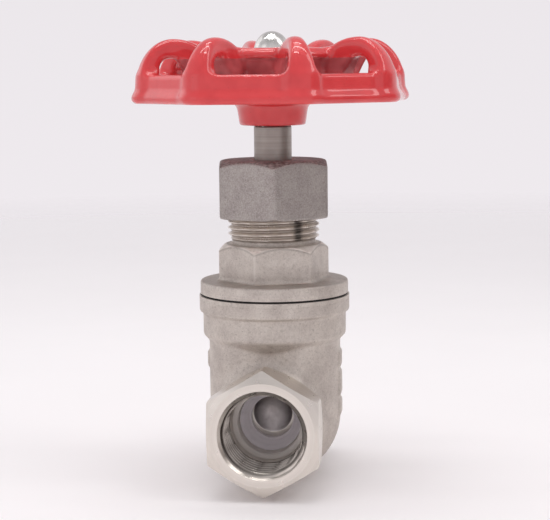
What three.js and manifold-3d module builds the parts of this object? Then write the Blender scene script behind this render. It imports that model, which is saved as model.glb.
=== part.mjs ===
// Threaded stainless steel gate valve, half-inch size, with a non-rising stem.
//
// Millimetres, +Z up. The pipe runs along Y and the stem along Z.
// The origin is the middle of the small flat ground on the bottom of the body, straight below the stem.
// The valve is shown closed: the wedge stands between the two seats.
// Turning the handwheel anticlockwise, seen from above, winds the wedge up the stem's left-hand thread.

import * as THREE from 'three';
import { mergeVertices } from 'three/addons/utils/BufferGeometryUtils.js';
import Module from 'manifold-3d';

const wasm = await Module();
wasm.setup();

// ---------------------------------------------------------------- driving dimensions

const LENGTH = 55; // face to face along the pipe
const SPANNER = 27; // across flats of the pipe ends and of the gland nut
const BONNET_SPANNER = 24.4;
const SNUG = 0.1; // gap between parts that are clamped or screwed together
const RUNNING = 0.15; // radial clearance of turning and sliding parts

// Heights above the pipe axis.
const Z = {
  foot: -16.4, // the ground flat that the valve stands on
  wedgeTop: 15.6,
  shoulderFoot: 18.9, // where the collar grows out of the barrel
  shoulderTop: 20.4,
  socketFloor: 22, // floor of the threaded socket that takes the bonnet
  collarStep: 26.3,
  bodyTop: 30.4,
  flangeFoot: 30.9,
  bonnetCeiling: 31.8, // highest that the wedge may come
  flangeTop: 34.1,
  hexFoot: 35.2,
  collarFoot: 36.3, // the stem's thrust collar
  collarTop: 38.9,
  thrustLedge: 39.6,
  stuffingFloor: 41.2,
  hexTop: 43.2,
  nutFoot: 49.8,
  neckTop: 58.2,
  nutCeiling: 61.0,
  nutTop: 64.2,
  hubFoot: 72.7,
  wheelFoot: 78.3,
  dishFloor: 80.8, // seat of the washers in the middle of the wheel
  rimTop: 85.4,
  archUnder: 89.3, // underside of the wheel's arches
  dishTop: 91.6,
  crown: 94.4,
  nutSeat: 83.9,
  top: 95.9,
};

// Radii about the stem axis.
const R = {
  barrel: 16.5,
  collar: 18.0,
  collarTop: 18.9,
  socket: 15.1,
  flange: 18.6,
  neck: 11.4,
  stuffing: 8.0,
  stem: 4.7,
  stemCollar: 6.8,
  stemThread: 3.5,
  stud: 3.0,
  wheel: 35.3,
  dish: 18.4,
  dishBore: 15.9,
  hub: 8.7,
};

// The pipe port: radii about the pipe axis, and distances from the stem axis.
const PORT = {
  mouth: 10.6,
  thread: 9.9,
  relief: 10.5,
  shoulder: 7.75,
  bore: 5.25,
  reliefStart: 14.8,
  shoulderY: 13.2,
  seatFront: 10.2,
  seatBack: 5.45,
};

const WEDGE = { half: 5.3, width: 10.9, disc: 9.0, taper: THREE.MathUtils.degToRad(3) };
const CAVITY = { x: 12.0, y: 7.6 };
const RAIL = { x: 9.1, y: 1.2 };
const SQUARE = 7; // drive square under the wheel
const LOBES = 8;

// How far the parts stand round from the pipe when everything is tight.
const WHEEL_TURN = THREE.MathUtils.degToRad(-70.6);
const GLAND_NUT_TURN = THREE.MathUtils.degToRad(7.5);
const BONNET_TURN = THREE.MathUtils.degToRad(-13);

const FINE = 48;
const ROUND = 36;
const SMALL = 24;

// ---------------------------------------------------------------- solids

// A closed geometry as a manifold-3d solid.
function solid(geometry) {
  const plain = geometry.index ? geometry.toNonIndexed() : geometry.clone();
  plain.deleteAttribute('normal');
  plain.deleteAttribute('uv');
  const merged = mergeVertices(plain, 1e-4);
  return new wasm.Manifold(new wasm.Mesh({
    numProp: 3,
    vertProperties: new Float32Array(merged.attributes.position.array),
    triVerts: new Uint32Array(merged.index.array),
  }));
}

// A solid turned about the Z axis from a closed outline of [radius, height] points.
function turned(points, segments = ROUND) {
  const outline = points.map(([radius, height]) => new THREE.Vector2(radius, height));
  if (THREE.ShapeUtils.area(outline) < 0) outline.reverse();
  outline.push(outline[0].clone());
  const geometry = new THREE.LatheGeometry(outline, segments);
  geometry.rotateX(Math.PI / 2);
  return solid(geometry);
}

// The same about the pipe axis: heights become distances from the stem, towards -Y or +Y.
function turnedOnPipe(points, side, segments = ROUND) {
  return turned(points, segments).rotate([-90 * side, 0, 0]);
}

function disc(radius, low, high, segments = ROUND) {
  return turned([[0, low], [radius, low], [radius, high], [0, high]], segments);
}

function ring(inner, outer, low, high, segments = ROUND) {
  return turned([[inner, low], [outer, low], [outer, high], [inner, high]], segments);
}

function block(width, depth, low, high) {
  const geometry = new THREE.BoxGeometry(width, depth, high - low);
  geometry.translate(0, 0, (low + high) / 2);
  return solid(geometry);
}

// An upright hexagonal bar with a corner towards -Y.
function hexBar(acrossFlats, low, high) {
  const corner = acrossFlats / Math.sqrt(3);
  const geometry = new THREE.CylinderGeometry(corner, corner, high - low, 6);
  geometry.rotateX(Math.PI / 2);
  geometry.translate(0, 0, (low + high) / 2);
  return solid(geometry);
}

// A flat outline of [across, up] points standing in the XZ plane, with its thickness centred on Y.
function plate(points, thickness) {
  const outline = new THREE.Shape(points.map(([x, y]) => new THREE.Vector2(x, y)));
  const geometry = new THREE.ExtrudeGeometry(outline, { depth: thickness, bevelEnabled: false });
  geometry.translate(0, 0, -thickness / 2);
  geometry.rotateX(Math.PI / 2);
  return solid(geometry);
}

// A bar along X whose half depth changes from one height to another.
function taperedBar(halfWidth, low, high, lowHalf, highHalf) {
  const quarter = 90;
  const outline = [[-lowHalf, low], [lowHalf, low], [highHalf, high], [-highHalf, high]];
  return plate(outline, 2 * halfWidth).rotate([0, 0, quarter]);
}

function joined(solids) {
  return solids.reduce((all, next) => all.add(next));
}

// ---------------------------------------------------------------- body

const HEX = { corner: 15.4, back: 16.2, heel: 20.3, heelFoot: 13.3, chamfer: 1.5, face: 12.7 };
const BOSS = 12.9; // round neck behind the hexagon
const FLAT_Y = 15.2; // the barrel is flattened towards the pipe ends

function bodyCasting() {
  const half = LENGTH / 2;
  const barrel = turned([
    [0, Z.foot], [5, Z.foot], [9.4, -14.2], [13.4, -10.0], [15.5, -6.2], [R.barrel, -1],
    [R.barrel, Z.shoulderFoot], [R.collar, Z.shoulderTop], [0, Z.shoulderTop],
  ], FINE);
  const collar = turned([
    [0, Z.shoulderFoot], [R.barrel - 0.2, Z.shoulderFoot], [R.collar, Z.shoulderTop],
    [R.collar, Z.collarStep - 0.5], [R.collarTop, Z.collarStep], [R.collarTop, Z.bodyTop],
    [0, Z.bodyTop],
  ], FINE);
  const parts = [barrel.intersect(block(50, 2 * FLAT_Y, Z.foot - 1, Z.shoulderTop)), collar];
  for (const side of [-1, 1]) {
    parts.push(turnedOnPipe([[0, 0], [BOSS, 0], [BOSS, half - 5], [0, half - 5]], side, FINE));
    const bar = hexBar(SPANNER, HEX.back, half).rotate([-90 * side, 0, 0]);
    parts.push(bar.intersect(turnedOnPipe([
      [0, HEX.back], [HEX.heelFoot, HEX.back], [HEX.corner, HEX.heel],
      [HEX.corner, half - HEX.chamfer], [HEX.face, half], [0, half],
    ], side, FINE)));
  }
  return joined([...parts, ...castPads()]);
}

// Plain raised pads on the sides of the barrel: three on one side, one on the other.
function castPads() {
  const pad = (side, low, high) => block(3, 7, low, high).translate([side * (R.barrel - 1.1), 0, 0]);
  return [pad(1, 11.8, 16.2), pad(1, 4.6, 11), pad(1, -0.6, 3.8), pad(-1, 11.8, 16.2)];
}

function bodyHollow() {
  const half = LENGTH / 2;
  const chamber = plate([
    [-CAVITY.x, Z.socketFloor + 1], [-CAVITY.x, -3], [-8.4, -8.2], [-4.6, -10.2],
    [4.6, -10.2], [8.4, -8.2], [CAVITY.x, -3], [CAVITY.x, Z.socketFloor + 1],
  ], 2 * CAVITY.y);
  const socket = disc(R.socket, Z.socketFloor, Z.bodyTop + 1, FINE);
  const ports = [-1, 1].map((side) => turnedOnPipe([
    [0, 5], [PORT.shoulder, 5], [PORT.shoulder, PORT.shoulderY], [PORT.relief, PORT.shoulderY],
    [PORT.relief, PORT.reliefStart], [PORT.thread, PORT.reliefStart + 0.6], [PORT.thread, half - 1],
    [PORT.mouth, half], [PORT.mouth, half + 1], [0, half + 1],
  ], side));
  return joined([chamber, socket, ...ports]);
}

// Two upright rails in the chamber guide the wedge.
function guideRails() {
  const width = CAVITY.x - RAIL.x + 1;
  return [-1, 1].map((side) => block(width, 2 * RAIL.y, -6.5, Z.socketFloor - 0.5)
    .translate([side * (RAIL.x + width / 2), 0, 0]));
}

function body() {
  return joined([bodyCasting().subtract(bodyHollow()), ...guideRails()]);
}

// A ring pressed into the body. Its back leans with the wedge that it seals on.
function seatRing(side) {
  const outer = PORT.shoulder - SNUG / 2;
  const blank = turnedOnPipe([
    [PORT.bore, 4], [outer, 4], [outer, PORT.seatFront], [7.3, PORT.seatFront], [5.86, 6.7], [PORT.bore, 6.5],
  ], side);
  const reach = 12;
  const lean = reach * Math.tan(WEDGE.taper);
  return blank.subtract(taperedBar(reach, -reach, reach, PORT.seatBack - lean, PORT.seatBack + lean));
}

// ---------------------------------------------------------------- wedge

function wedge() {
  const lean = (height) => WEDGE.half + height * Math.tan(WEDGE.taper);
  const low = -WEDGE.disc;
  const neckline = 6;
  const slices = taperedBar(WEDGE.width, low, Z.wedgeTop, lean(low), lean(Z.wedgeTop));
  const round = disc(WEDGE.disc, -10, 10).rotate([90, 0, 0]);
  const upper = block(2 * WEDGE.width, 20, neckline, Z.wedgeTop);
  const middle = block(2 * WEDGE.disc, 20, 0, neckline + 1);
  const outline = joined([round, upper, middle]);
  const groove = block(5, 2 * (RAIL.y + RUNNING), low - 1, Z.wedgeTop + 1);
  const cuts = [-1, 1].map((side) => groove.translate([side * (RAIL.x - 2 * RUNNING + 2.5), 0, 0]));
  const faces = [-1, 1].map((side) => turnedOnPipe([[0, 4.6], [4.3, 4.6], [5.0, 9], [0, 9]], side, SMALL));
  const threadHole = disc(R.stemThread + RUNNING, -8, Z.wedgeTop + 1, SMALL);
  return slices.intersect(outline).subtract(joined([...cuts, ...faces, threadHole]));
}

// ---------------------------------------------------------------- bonnet

function gasket() {
  return ring(R.socket + 0.2, R.flange - 0.1, Z.bodyTop + 0.05, Z.flangeFoot - 0.05, FINE);
}

function bonnet() {
  const skirt = R.socket - RUNNING;
  const flange = turned([
    [0, Z.socketFloor + 0.3], [skirt, Z.socketFloor + 0.3], [skirt, Z.flangeFoot], [R.flange, Z.flangeFoot],
    [R.flange, Z.flangeTop - 0.5], [R.flange - 0.5, Z.flangeTop], [14.4, Z.flangeTop + 0.1], [13, Z.hexFoot],
    [0, Z.hexFoot],
  ], FINE);
  const cap = turned([
    [0, Z.hexFoot - 1], [15, Z.hexFoot - 1], [15, Z.hexTop - 1.2], [12.9, Z.hexTop], [0, Z.hexTop],
  ]);
  const hexagon = hexBar(BONNET_SPANNER, Z.flangeTop - 0.5, Z.hexTop)
    .rotate([0, 0, THREE.MathUtils.radToDeg(BONNET_TURN)]).intersect(cap);
  const neck = turned([
    [0, Z.hexTop - 1], [R.neck - 0.9, Z.hexTop - 1], [R.neck - 0.9, Z.hexTop + 1.2], [R.neck, Z.hexTop + 2],
    [R.neck, Z.neckTop - 0.7], [R.neck - 0.7, Z.neckTop], [0, Z.neckTop],
  ]);
  const inside = turned([
    [0, Z.socketFloor], [12.8, Z.socketFloor], [12.8, Z.bonnetCeiling], [R.stuffing + 0.1, Z.bonnetCeiling],
    [R.stuffing + 0.1, Z.thrustLedge], [R.stem + RUNNING, Z.thrustLedge], [R.stem + RUNNING, Z.stuffingFloor],
    [R.stuffing, Z.stuffingFloor], [R.stuffing, Z.neckTop + 1], [0, Z.neckTop + 1],
  ]);
  return joined([flange, hexagon, neck]).subtract(inside);
}

// Screwed into the bonnet from below, it holds the stem's collar up.
function stemRetainer() {
  return ring(R.stemThread + 0.4, R.stuffing, Z.bonnetCeiling + 0.1, Z.collarFoot - 0.8);
}

function thrustWasher(low) {
  return ring(R.stem + RUNNING, R.stemCollar + 0.7, low, low + 0.5);
}

// ---------------------------------------------------------------- stem and packing

function stem() {
  const half = SQUARE / 2;
  const shaft = turned([
    [0, 7.6], [R.stemThread - 0.8, 7.6], [R.stemThread, 8.4], [R.stemThread, Z.collarFoot],
    [R.stemCollar, Z.collarFoot], [R.stemCollar, Z.collarTop], [R.stem, Z.collarTop],
    [R.stem, Z.hubFoot - 0.4], [R.stem - 0.3, Z.hubFoot - SNUG], [0, Z.hubFoot - SNUG],
  ], SMALL);
  const drive = block(2 * half, 2 * half, Z.hubFoot - 1, Z.dishFloor - 0.4);
  const stud = turned([
    [0, Z.dishFloor - 1], [R.stud, Z.dishFloor - 1], [R.stud, 90], [R.stud - 0.6, 90.6], [0, 90.6],
  ], SMALL);
  return joined([shaft, drive.intersect(disc(R.stem, 60, 90, SMALL)), stud]);
}

const PACKING = { rings: 3, height: 2.2, adapter: 1.5 };

function packingRing(low, height) {
  return ring(R.stem + RUNNING, R.stuffing - SNUG, low, low + height);
}

function glandFollower(low) {
  const seat = Z.nutCeiling - SNUG;
  return turned([
    [R.stem + RUNNING, low], [R.stuffing - RUNNING, low], [R.stuffing - RUNNING, seat - 1.8],
    [9.4, seat - 1.8], [9.4, seat], [R.stem + RUNNING, seat],
  ]);
}

function glandNut() {
  const turning = turned([
    [0, Z.nutFoot], [14.6, Z.nutFoot], [15.6, Z.nutFoot + 0.6], [15.6, Z.nutTop - 1.7], [12.7, Z.nutTop],
    [0, Z.nutTop],
  ]);
  const inside = turned([
    [0, Z.nutFoot - 1], [R.neck + 0.9, Z.nutFoot - 1], [R.neck + RUNNING, Z.nutFoot + 0.6],
    [R.neck + RUNNING, Z.nutCeiling], [R.stem + 0.6, Z.nutCeiling], [R.stem + 0.6, Z.nutTop + 1], [0, Z.nutTop + 1],
  ]);
  return hexBar(SPANNER, Z.nutFoot, Z.nutTop).intersect(turning).subtract(inside);
}

// ---------------------------------------------------------------- handwheel

const RIM = { wall: 2.4, cornerRadius: 7, ribWidth: 7.6 };

// An octagon with rounded corners, one of them at the angle 0. The corners reach out to the radius.
function lobedOutline(Path, radius, cornerRadius) {
  const outline = new Path();
  const centre = radius - cornerRadius;
  const halfTurn = Math.PI / LOBES;
  for (let i = 0; i < LOBES; i++) {
    const angle = 2 * halfTurn * i;
    const x = centre * Math.cos(angle);
    const y = centre * Math.sin(angle);
    outline.absarc(x, y, cornerRadius, angle - halfTurn, angle + halfTurn, false);
  }
  outline.closePath();
  return outline;
}

function rim() {
  const outline = lobedOutline(THREE.Shape, R.wheel, RIM.cornerRadius);
  outline.holes.push(lobedOutline(THREE.Path, R.wheel - RIM.wall, RIM.cornerRadius - RIM.wall));
  const height = Z.rimTop - Z.wheelFoot;
  const geometry = new THREE.ExtrudeGeometry(outline, { depth: height, bevelEnabled: false, curveSegments: 3 });
  geometry.translate(0, 0, Z.wheelFoot);
  return solid(geometry);
}

// One arch from the rim over to the dish. It is hollow underneath.
function arch() {
  return plate([
    [33, Z.wheelFoot], [R.wheel, Z.wheelFoot], [R.wheel, 80.6], [33.4, 86.4], [30.2, 91.6], [26.4, Z.crown],
    [22.6, Z.crown], [17.8, Z.dishTop], [17.2, 78.8], [21.8, 85.4], [24.1, Z.archUnder], [26.4, Z.archUnder],
    [28.4, 87.4], [28.4, 81.4],
  ], RIM.ribWidth);
}

// Everything inside the rounded outline of the rim.
function insideRim() {
  const outline = lobedOutline(THREE.Shape, R.wheel, RIM.cornerRadius);
  const geometry = new THREE.ExtrudeGeometry(outline, { depth: 40, bevelEnabled: false, curveSegments: 3 });
  geometry.translate(0, 0, Z.hubFoot - 1);
  return solid(geometry);
}

function handwheel() {
  const turn = 360 / LOBES;
  const dish = turned([
    [0, Z.hubFoot], [8.2, Z.hubFoot], [R.hub, 76.4], [R.hub + 1.2, Z.wheelFoot], [R.dish - 0.8, Z.wheelFoot],
    [R.dish, Z.wheelFoot + 0.8], [R.dish, Z.dishTop - 1], [R.dish - 1.2, Z.dishTop],
    [R.dishBore, Z.dishTop - 0.6], [R.dishBore, Z.dishFloor], [0, Z.dishFloor],
  ]);
  const arches = Array.from({ length: LOBES }, (_, i) => arch().rotate([0, 0, turn * i]));
  const drive = block(SQUARE + 0.4, SQUARE + 0.4, Z.hubFoot - 1, Z.dishFloor + 1);
  return joined([dish, rim(), joined(arches).intersect(insideRim())]).subtract(drive);
}

function domeNut() {
  const acrossFlats = 10;
  const hexTop = Z.nutSeat + 5;
  const hexagon = hexBar(acrossFlats, Z.nutSeat, hexTop).intersect(turned([
    [0, Z.nutSeat], [5, Z.nutSeat], [5.8, Z.nutSeat + 0.5], [5.8, hexTop - 0.7], [4.6, hexTop], [0, hexTop],
  ], SMALL));
  const domeFoot = 91;
  const dome = { radius: 4.45, rise: Z.top - domeFoot, steps: 6 };
  const profile = [[0, hexTop - 1], [dome.radius, hexTop - 1]];
  for (let i = 0; i < dome.steps; i++) {
    const angle = (Math.PI / 2) * (i / dome.steps);
    profile.push([dome.radius * Math.cos(angle), domeFoot + dome.rise * Math.sin(angle)]);
  }
  profile.push([0, Z.top]);
  const hole = disc(R.stud + SNUG, Z.nutSeat - 1, 91.5, SMALL);
  return hexagon.add(turned(profile, SMALL)).subtract(hole);
}

function wheelWasher() {
  return ring(R.stud + 0.2, 6.2, Z.dishFloor + 0.05, Z.dishFloor + 1.45, SMALL);
}

// A split ring. The cut leaves its ends free.
function springWasher() {
  const low = Z.dishFloor + 1.5;
  const cut = block(4, 0.9, low - 1, Z.nutSeat + 1).rotate([12, 0, 0]).translate([4.6, 0, 0]);
  return ring(R.stud + 0.15, 5.2, low, Z.nutSeat - 0.05, SMALL).subtract(cut);
}

// ---------------------------------------------------------------- the valve

const steel = {
  cast: { color: 0xb9b1aa, roughness: 0.55, metalness: 1 },
  nut: { color: 0xa59e9b, roughness: 0.5, metalness: 1 },
  turned: { color: 0xc4beb8, roughness: 0.3, metalness: 1 },
  seat: { color: 0xa4a8b2, roughness: 0.3, metalness: 1 },
  wedge: { color: 0x77716d, roughness: 0.4, metalness: 1 },
  plated: { color: 0xe6e6e6, roughness: 0.08, metalness: 1 },
};
const redEnamel = { color: 0xc42b33, roughness: 0.2, metalness: 0 };
const blackFibre = { color: 0x1b1b1d, roughness: 0.8, metalness: 0 };
const packingFibre = { color: 0xe9e6dd, roughness: 0.6, metalness: 0 };

const valve = new THREE.Group();
valve.position.z = -Z.foot;

function place(parent, name, manifold, finish, turn = 0) {
  const mesh = manifold.getMesh();
  const geometry = new THREE.BufferGeometry();
  geometry.setAttribute('position', new THREE.BufferAttribute(new Float32Array(mesh.vertProperties), 3));
  geometry.setIndex(new THREE.BufferAttribute(new Uint32Array(mesh.triVerts), 1));
  geometry.computeVertexNormals();
  const piece = new THREE.Mesh(geometry, new THREE.MeshStandardMaterial(finish));
  piece.name = name;
  piece.rotation.z = turn;
  parent.add(piece);
}

place(valve, 'body', body(), steel.cast);
place(valve, 'seat_ring_front', seatRing(-1), steel.seat);
place(valve, 'seat_ring_back', seatRing(1), steel.seat);
place(valve, 'bonnet_gasket', gasket(), blackFibre);
place(valve, 'bonnet', bonnet(), steel.cast);
place(valve, 'stem_retainer', stemRetainer(), steel.turned);
place(valve, 'stem_thrust_washer_lower', thrustWasher(Z.collarFoot - 0.6), steel.turned);
place(valve, 'stem_thrust_washer_upper', thrustWasher(Z.collarTop + 0.1), steel.turned);

let level = Z.stuffingFloor + SNUG;
place(valve, 'packing_adapter_lower', packingRing(level, PACKING.adapter), steel.turned);
level += PACKING.adapter + SNUG;
for (let i = 1; i <= PACKING.rings; i++) {
  place(valve, `packing_ring_${i}`, packingRing(level, PACKING.height), packingFibre);
  level += PACKING.height + SNUG;
}
place(valve, 'packing_adapter_upper', packingRing(level, PACKING.adapter), steel.turned);
level += PACKING.adapter + SNUG;
place(valve, 'gland_follower', glandFollower(level), steel.turned);
place(valve, 'gland_nut', glandNut(), steel.nut, GLAND_NUT_TURN);

const gate = new THREE.Group();
valve.add(gate);
place(gate, 'wedge', wedge(), steel.wedge);

const spindle = new THREE.Group();
spindle.rotation.z = WHEEL_TURN;
valve.add(spindle);
place(spindle, 'stem', stem(), steel.turned);
place(spindle, 'handwheel', handwheel(), redEnamel);
place(spindle, 'wheel_washer', wheelWasher(), steel.plated);
place(spindle, 'spring_washer', springWasher(), steel.plated);
place(spindle, 'dome_nut', domeNut(), steel.plated);

export default valve;
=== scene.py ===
"""Half-inch stainless gate valve with a red lobed handwheel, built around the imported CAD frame."""
import math

import bpy
import numpy as np
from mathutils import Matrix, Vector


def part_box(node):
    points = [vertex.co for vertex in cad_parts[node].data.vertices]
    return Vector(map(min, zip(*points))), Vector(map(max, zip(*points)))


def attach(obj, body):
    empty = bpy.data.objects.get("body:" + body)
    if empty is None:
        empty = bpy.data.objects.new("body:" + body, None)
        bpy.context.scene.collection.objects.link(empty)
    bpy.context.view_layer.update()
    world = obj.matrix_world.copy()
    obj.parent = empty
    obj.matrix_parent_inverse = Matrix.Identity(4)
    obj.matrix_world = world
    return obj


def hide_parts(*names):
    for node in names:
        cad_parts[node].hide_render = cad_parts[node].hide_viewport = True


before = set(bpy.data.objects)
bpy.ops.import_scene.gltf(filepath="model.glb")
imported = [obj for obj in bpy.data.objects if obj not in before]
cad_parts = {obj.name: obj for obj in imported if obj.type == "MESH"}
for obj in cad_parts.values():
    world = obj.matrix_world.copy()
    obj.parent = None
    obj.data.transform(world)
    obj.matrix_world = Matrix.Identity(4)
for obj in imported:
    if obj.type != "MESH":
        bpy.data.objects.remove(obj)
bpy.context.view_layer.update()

import openvdb
from mathutils import Matrix, Vector

# ---------------------------------------------------------------- sizes, in millimetres
# Shapes are worked out about the crossing of the pipe axis and the stem axis, which is (0, 0, 0) here.

MM = 0.001
TAU = 2 * math.pi
AXIS = 0.01  # a turned profile starts and ends this close to its axis


def span(node, axis):
    """Lowest and highest value of a CAD node along an axis, in millimetres in the row frame."""
    low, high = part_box(node)
    return low[axis] / MM, high[axis] / MM


PIPE_Z = sum(span("seat_ring_front", 2)) / 2


def foot(node):
    return span(node, 2)[0] - PIPE_Z


def top(node):
    return span(node, 2)[1] - PIPE_Z


def half_width(node, axis=0):
    return span(node, axis)[1]


HALF_LENGTH = half_width("body", 1)
FLAT = 27.0  # across the flats of the pipe ends
COLLAR = 18.9  # radius of the body's top rim, under the bonnet
BARREL = 16.55  # radius of the body's round barrel
HEX_BACK = 16.0  # where the hexagon of a pipe end starts, measured along the pipe
HEX_HEEL = 20.3  # its back chamfer runs from HEX_BACK to here,
HEX_HEEL_FOOT = 13.3  # and from this radius
HEX_CORNER = 15.45  # out to this one, which its corners are turned to
HEX_NOSE = 12.65  # radius where its front chamfer meets the end face
NOSE_SLOPE = math.tan(math.radians(30))
WEDGE_TAPER = math.tan(math.radians(3))  # lean of each face of the wedge
NUT_TURN = math.radians(7.5)  # how far the gland nut's hexagon is turned about the stem
BONNET_TURN = math.radians(-13)
WHEEL_TURN = math.radians(-70.6)
LOBES = 8
WHEEL = 35.25  # radius over the lobes


# ---------------------------------------------------------------- mesh helpers

def new_object(name, points, faces, smooth_angle=24):
    """A mesh object in the row frame from points in millimetres about the pipe and stem axes."""
    placed = (np.asarray(points, float) + (0, 0, PIPE_Z)) * MM
    mesh = bpy.data.meshes.new(name)
    mesh.from_pydata(placed.tolist(), [], [list(map(int, f)) for f in faces])
    mesh.validate()
    obj = bpy.data.objects.new(name, mesh)
    bpy.context.scene.collection.objects.link(obj)
    finish_mesh(obj, smooth_angle)
    return obj


def finish_mesh(obj, smooth_angle=24):
    """Faces out, smooth shading, sharp where two faces meet at more than the angle."""
    mesh = obj.data
    mesh.calc_loop_triangles()
    count = len(mesh.loop_triangles)
    corners = np.empty(count * 3, np.int32)
    mesh.loop_triangles.foreach_get("vertices", corners)
    points = np.empty(len(mesh.vertices) * 3, np.float32)
    mesh.vertices.foreach_get("co", points)
    a, b, c = points.reshape(-1, 3)[corners].reshape(-1, 3, 3).transpose(1, 0, 2)
    if np.einsum("ij,ij->i", a, np.cross(b, c)).sum() < 0:
        mesh.flip_normals()
    mesh.shade_smooth()
    mesh.set_sharp_from_angle(angle=math.radians(smooth_angle))


def turn_about_stem(obj, angle):
    turn = Matrix.Rotation(angle, 3, "Z")
    for vertex in obj.data.vertices:
        vertex.co = turn @ vertex.co


def apply_modifiers(obj):
    evaluated = obj.evaluated_get(bpy.context.evaluated_depsgraph_get())
    mesh = bpy.data.meshes.new_from_object(evaluated)
    obj.modifiers.clear()
    obj.data = mesh


def combine(obj, other, operation):
    """Joins another solid to obj, or cuts it away, and removes it."""
    cut = obj.modifiers.new("cut", "BOOLEAN")
    cut.object = other
    cut.operation = operation
    cut.solver = "MANIFOLD"
    apply_modifiers(obj)
    bpy.data.objects.remove(other)
    finish_mesh(obj)
    return obj


def turned(name, rows, segments=96, wave=None, pitch=1.0, hand=1, along="Z", closed=False):
    """A solid of revolution. rows are (radius, height), with a thread depth and a least radius if wanted.

    Where a row has a thread depth, the radius grows by that depth times wave(phase), and the phase
    runs round the axis and along it as a thread does. An open outline starts and ends on the axis.
    """
    rows = np.array([tuple(r) + (0.0,) * (4 - len(r)) for r in rows])
    angles = np.arange(segments) * TAU / segments
    radius = np.repeat(rows[:, :1], segments, 1)
    height = np.repeat(rows[:, 1:2], segments, 1)
    if wave is not None:
        phase = (height / pitch - hand * angles / TAU) % 1.0
        radius = np.maximum(radius + rows[:, 2:3] * wave(phase), rows[:, 3:])
    x, y, z = radius * np.cos(angles), radius * np.sin(angles), height
    if along == "-Y":
        x, y, z = x, -z, y
    elif along == "+Y":
        x, y, z = -x, z, y
    points = np.stack([x, y, z], -1).reshape(-1, 3)
    count = len(rows)
    faces = []
    for i in range(count if closed else count - 1):
        a, b = i * segments, ((i + 1) % count) * segments
        for j in range(segments):
            k = (j + 1) % segments
            faces.append((a + j, a + k, b + k, b + j))
    if not closed:
        faces.append(tuple(reversed(range(segments))))
        faces.append(tuple(range((count - 1) * segments, count * segments)))
    return new_object(name, points, faces)


def stretch(start, end, step):
    """Evenly spaced (radius, height) points from start to end, both included."""
    count = max(1, int(math.ceil(math.dist(start, end) / step)))
    return [(start[0] + (end[0] - start[0]) * i / count, start[1] + (end[1] - start[1]) * i / count)
            for i in range(count + 1)]


def arc(centre, radius, start, end, steps=6):
    """(radius, height) points on an arc, with angles in degrees from the outward direction."""
    angles = np.radians(np.linspace(start, end, steps + 1))
    return [(centre[0] + radius * math.cos(a), centre[1] + radius * math.sin(a)) for a in angles]


def grid(low, high, step):
    axes = [np.arange(a, b + step, step, dtype=np.float32) for a, b in zip(low, high)]
    return np.meshgrid(*axes, indexing="ij")


def cast(name, shape, low, high, step, relax=2):
    """A mesh of the surface where the signed distance shape(x, y, z) is zero, all in millimetres."""
    field = shape(*grid(low, high, step)).astype(np.float32)
    band = 3 * step
    volume = openvdb.FloatGrid(band)
    volume.copyFromArray(np.clip(field, -band, band))
    volume.transform = openvdb.createLinearTransform(step)
    points, quads = volume.convertToQuads(0.0)
    obj = new_object(name, points + np.array(low), quads)
    if relax:
        ease = obj.modifiers.new("ease", "SMOOTH")
        ease.factor = 0.5
        ease.iterations = relax
        apply_modifiers(obj)
        finish_mesh(obj)
    return obj


# Signed distances: negative inside, in millimetres.

def melt(a, b, k):
    """Both solids, with a fillet of about the size k between them."""
    h = np.clip(0.5 + 0.5 * (b - a) / k, 0, 1)
    return b * (1 - h) + a * h - k * h * (1 - h)


def meet(a, b, k=0.3):
    """What lies in both solids, with the edge rounded by about k."""
    return -melt(-a, -b, k)


def slab(outline, height, low, high, edge=0.3):
    """An outline raised from low to high, its rims rounded to the radius edge."""
    side = outline + edge
    end = np.abs(height - (low + high) / 2) - (high - low) / 2 + edge
    return np.hypot(np.maximum(side, 0), np.maximum(end, 0)) + np.minimum(np.maximum(side, end), 0) - edge


def hexagon(x, y, across, turn=0.0):
    """Distance to a hexagon with a corner towards -Y and +Y, turned anticlockwise."""
    u = x * math.cos(turn) + y * math.sin(turn)
    v = y * math.cos(turn) - x * math.sin(turn)
    side = np.abs(u)
    slope = np.abs(u) * 0.5 + np.abs(v) * math.sqrt(0.75)
    return np.maximum(side, slope) - across / 2


def brick(x, y, z, size, edge):
    """Distance to a rounded block of the given half sizes."""
    parts = [np.abs(p) - s + edge for p, s in zip((x, y, z), size)]
    outside = np.sqrt(sum(np.maximum(p, 0) ** 2 for p in parts))
    return outside + np.minimum(np.maximum.reduce(parts), 0) - edge


def lumps(x, y, z, size):
    """A soft unevenness between -1 and 1, as a casting's skin has."""
    k = TAU / size
    a = np.sin(k * (x + 0.6 * y) + 1.3) * np.sin(k * (y - 0.4 * z) + 0.4)
    b = np.sin(k * 1.7 * (z + 0.5 * x) + 2.1) * np.sin(k * 1.3 * (x - 0.8 * y) + 5.0)
    return 0.5 * (a + b)


def thread_wave(phase):
    """A V thread with a flattened crest and root, from 0 at the inside to 1 at the outside."""
    return np.clip((np.abs(phase - 0.5) * 2 - 0.14) / 0.72, 0, 1)


def trapezoid_wave(phase):
    return np.clip((np.abs(phase - 0.5) * 2 - 0.36) / 0.28, 0, 1)


# ---------------------------------------------------------------- body

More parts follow.
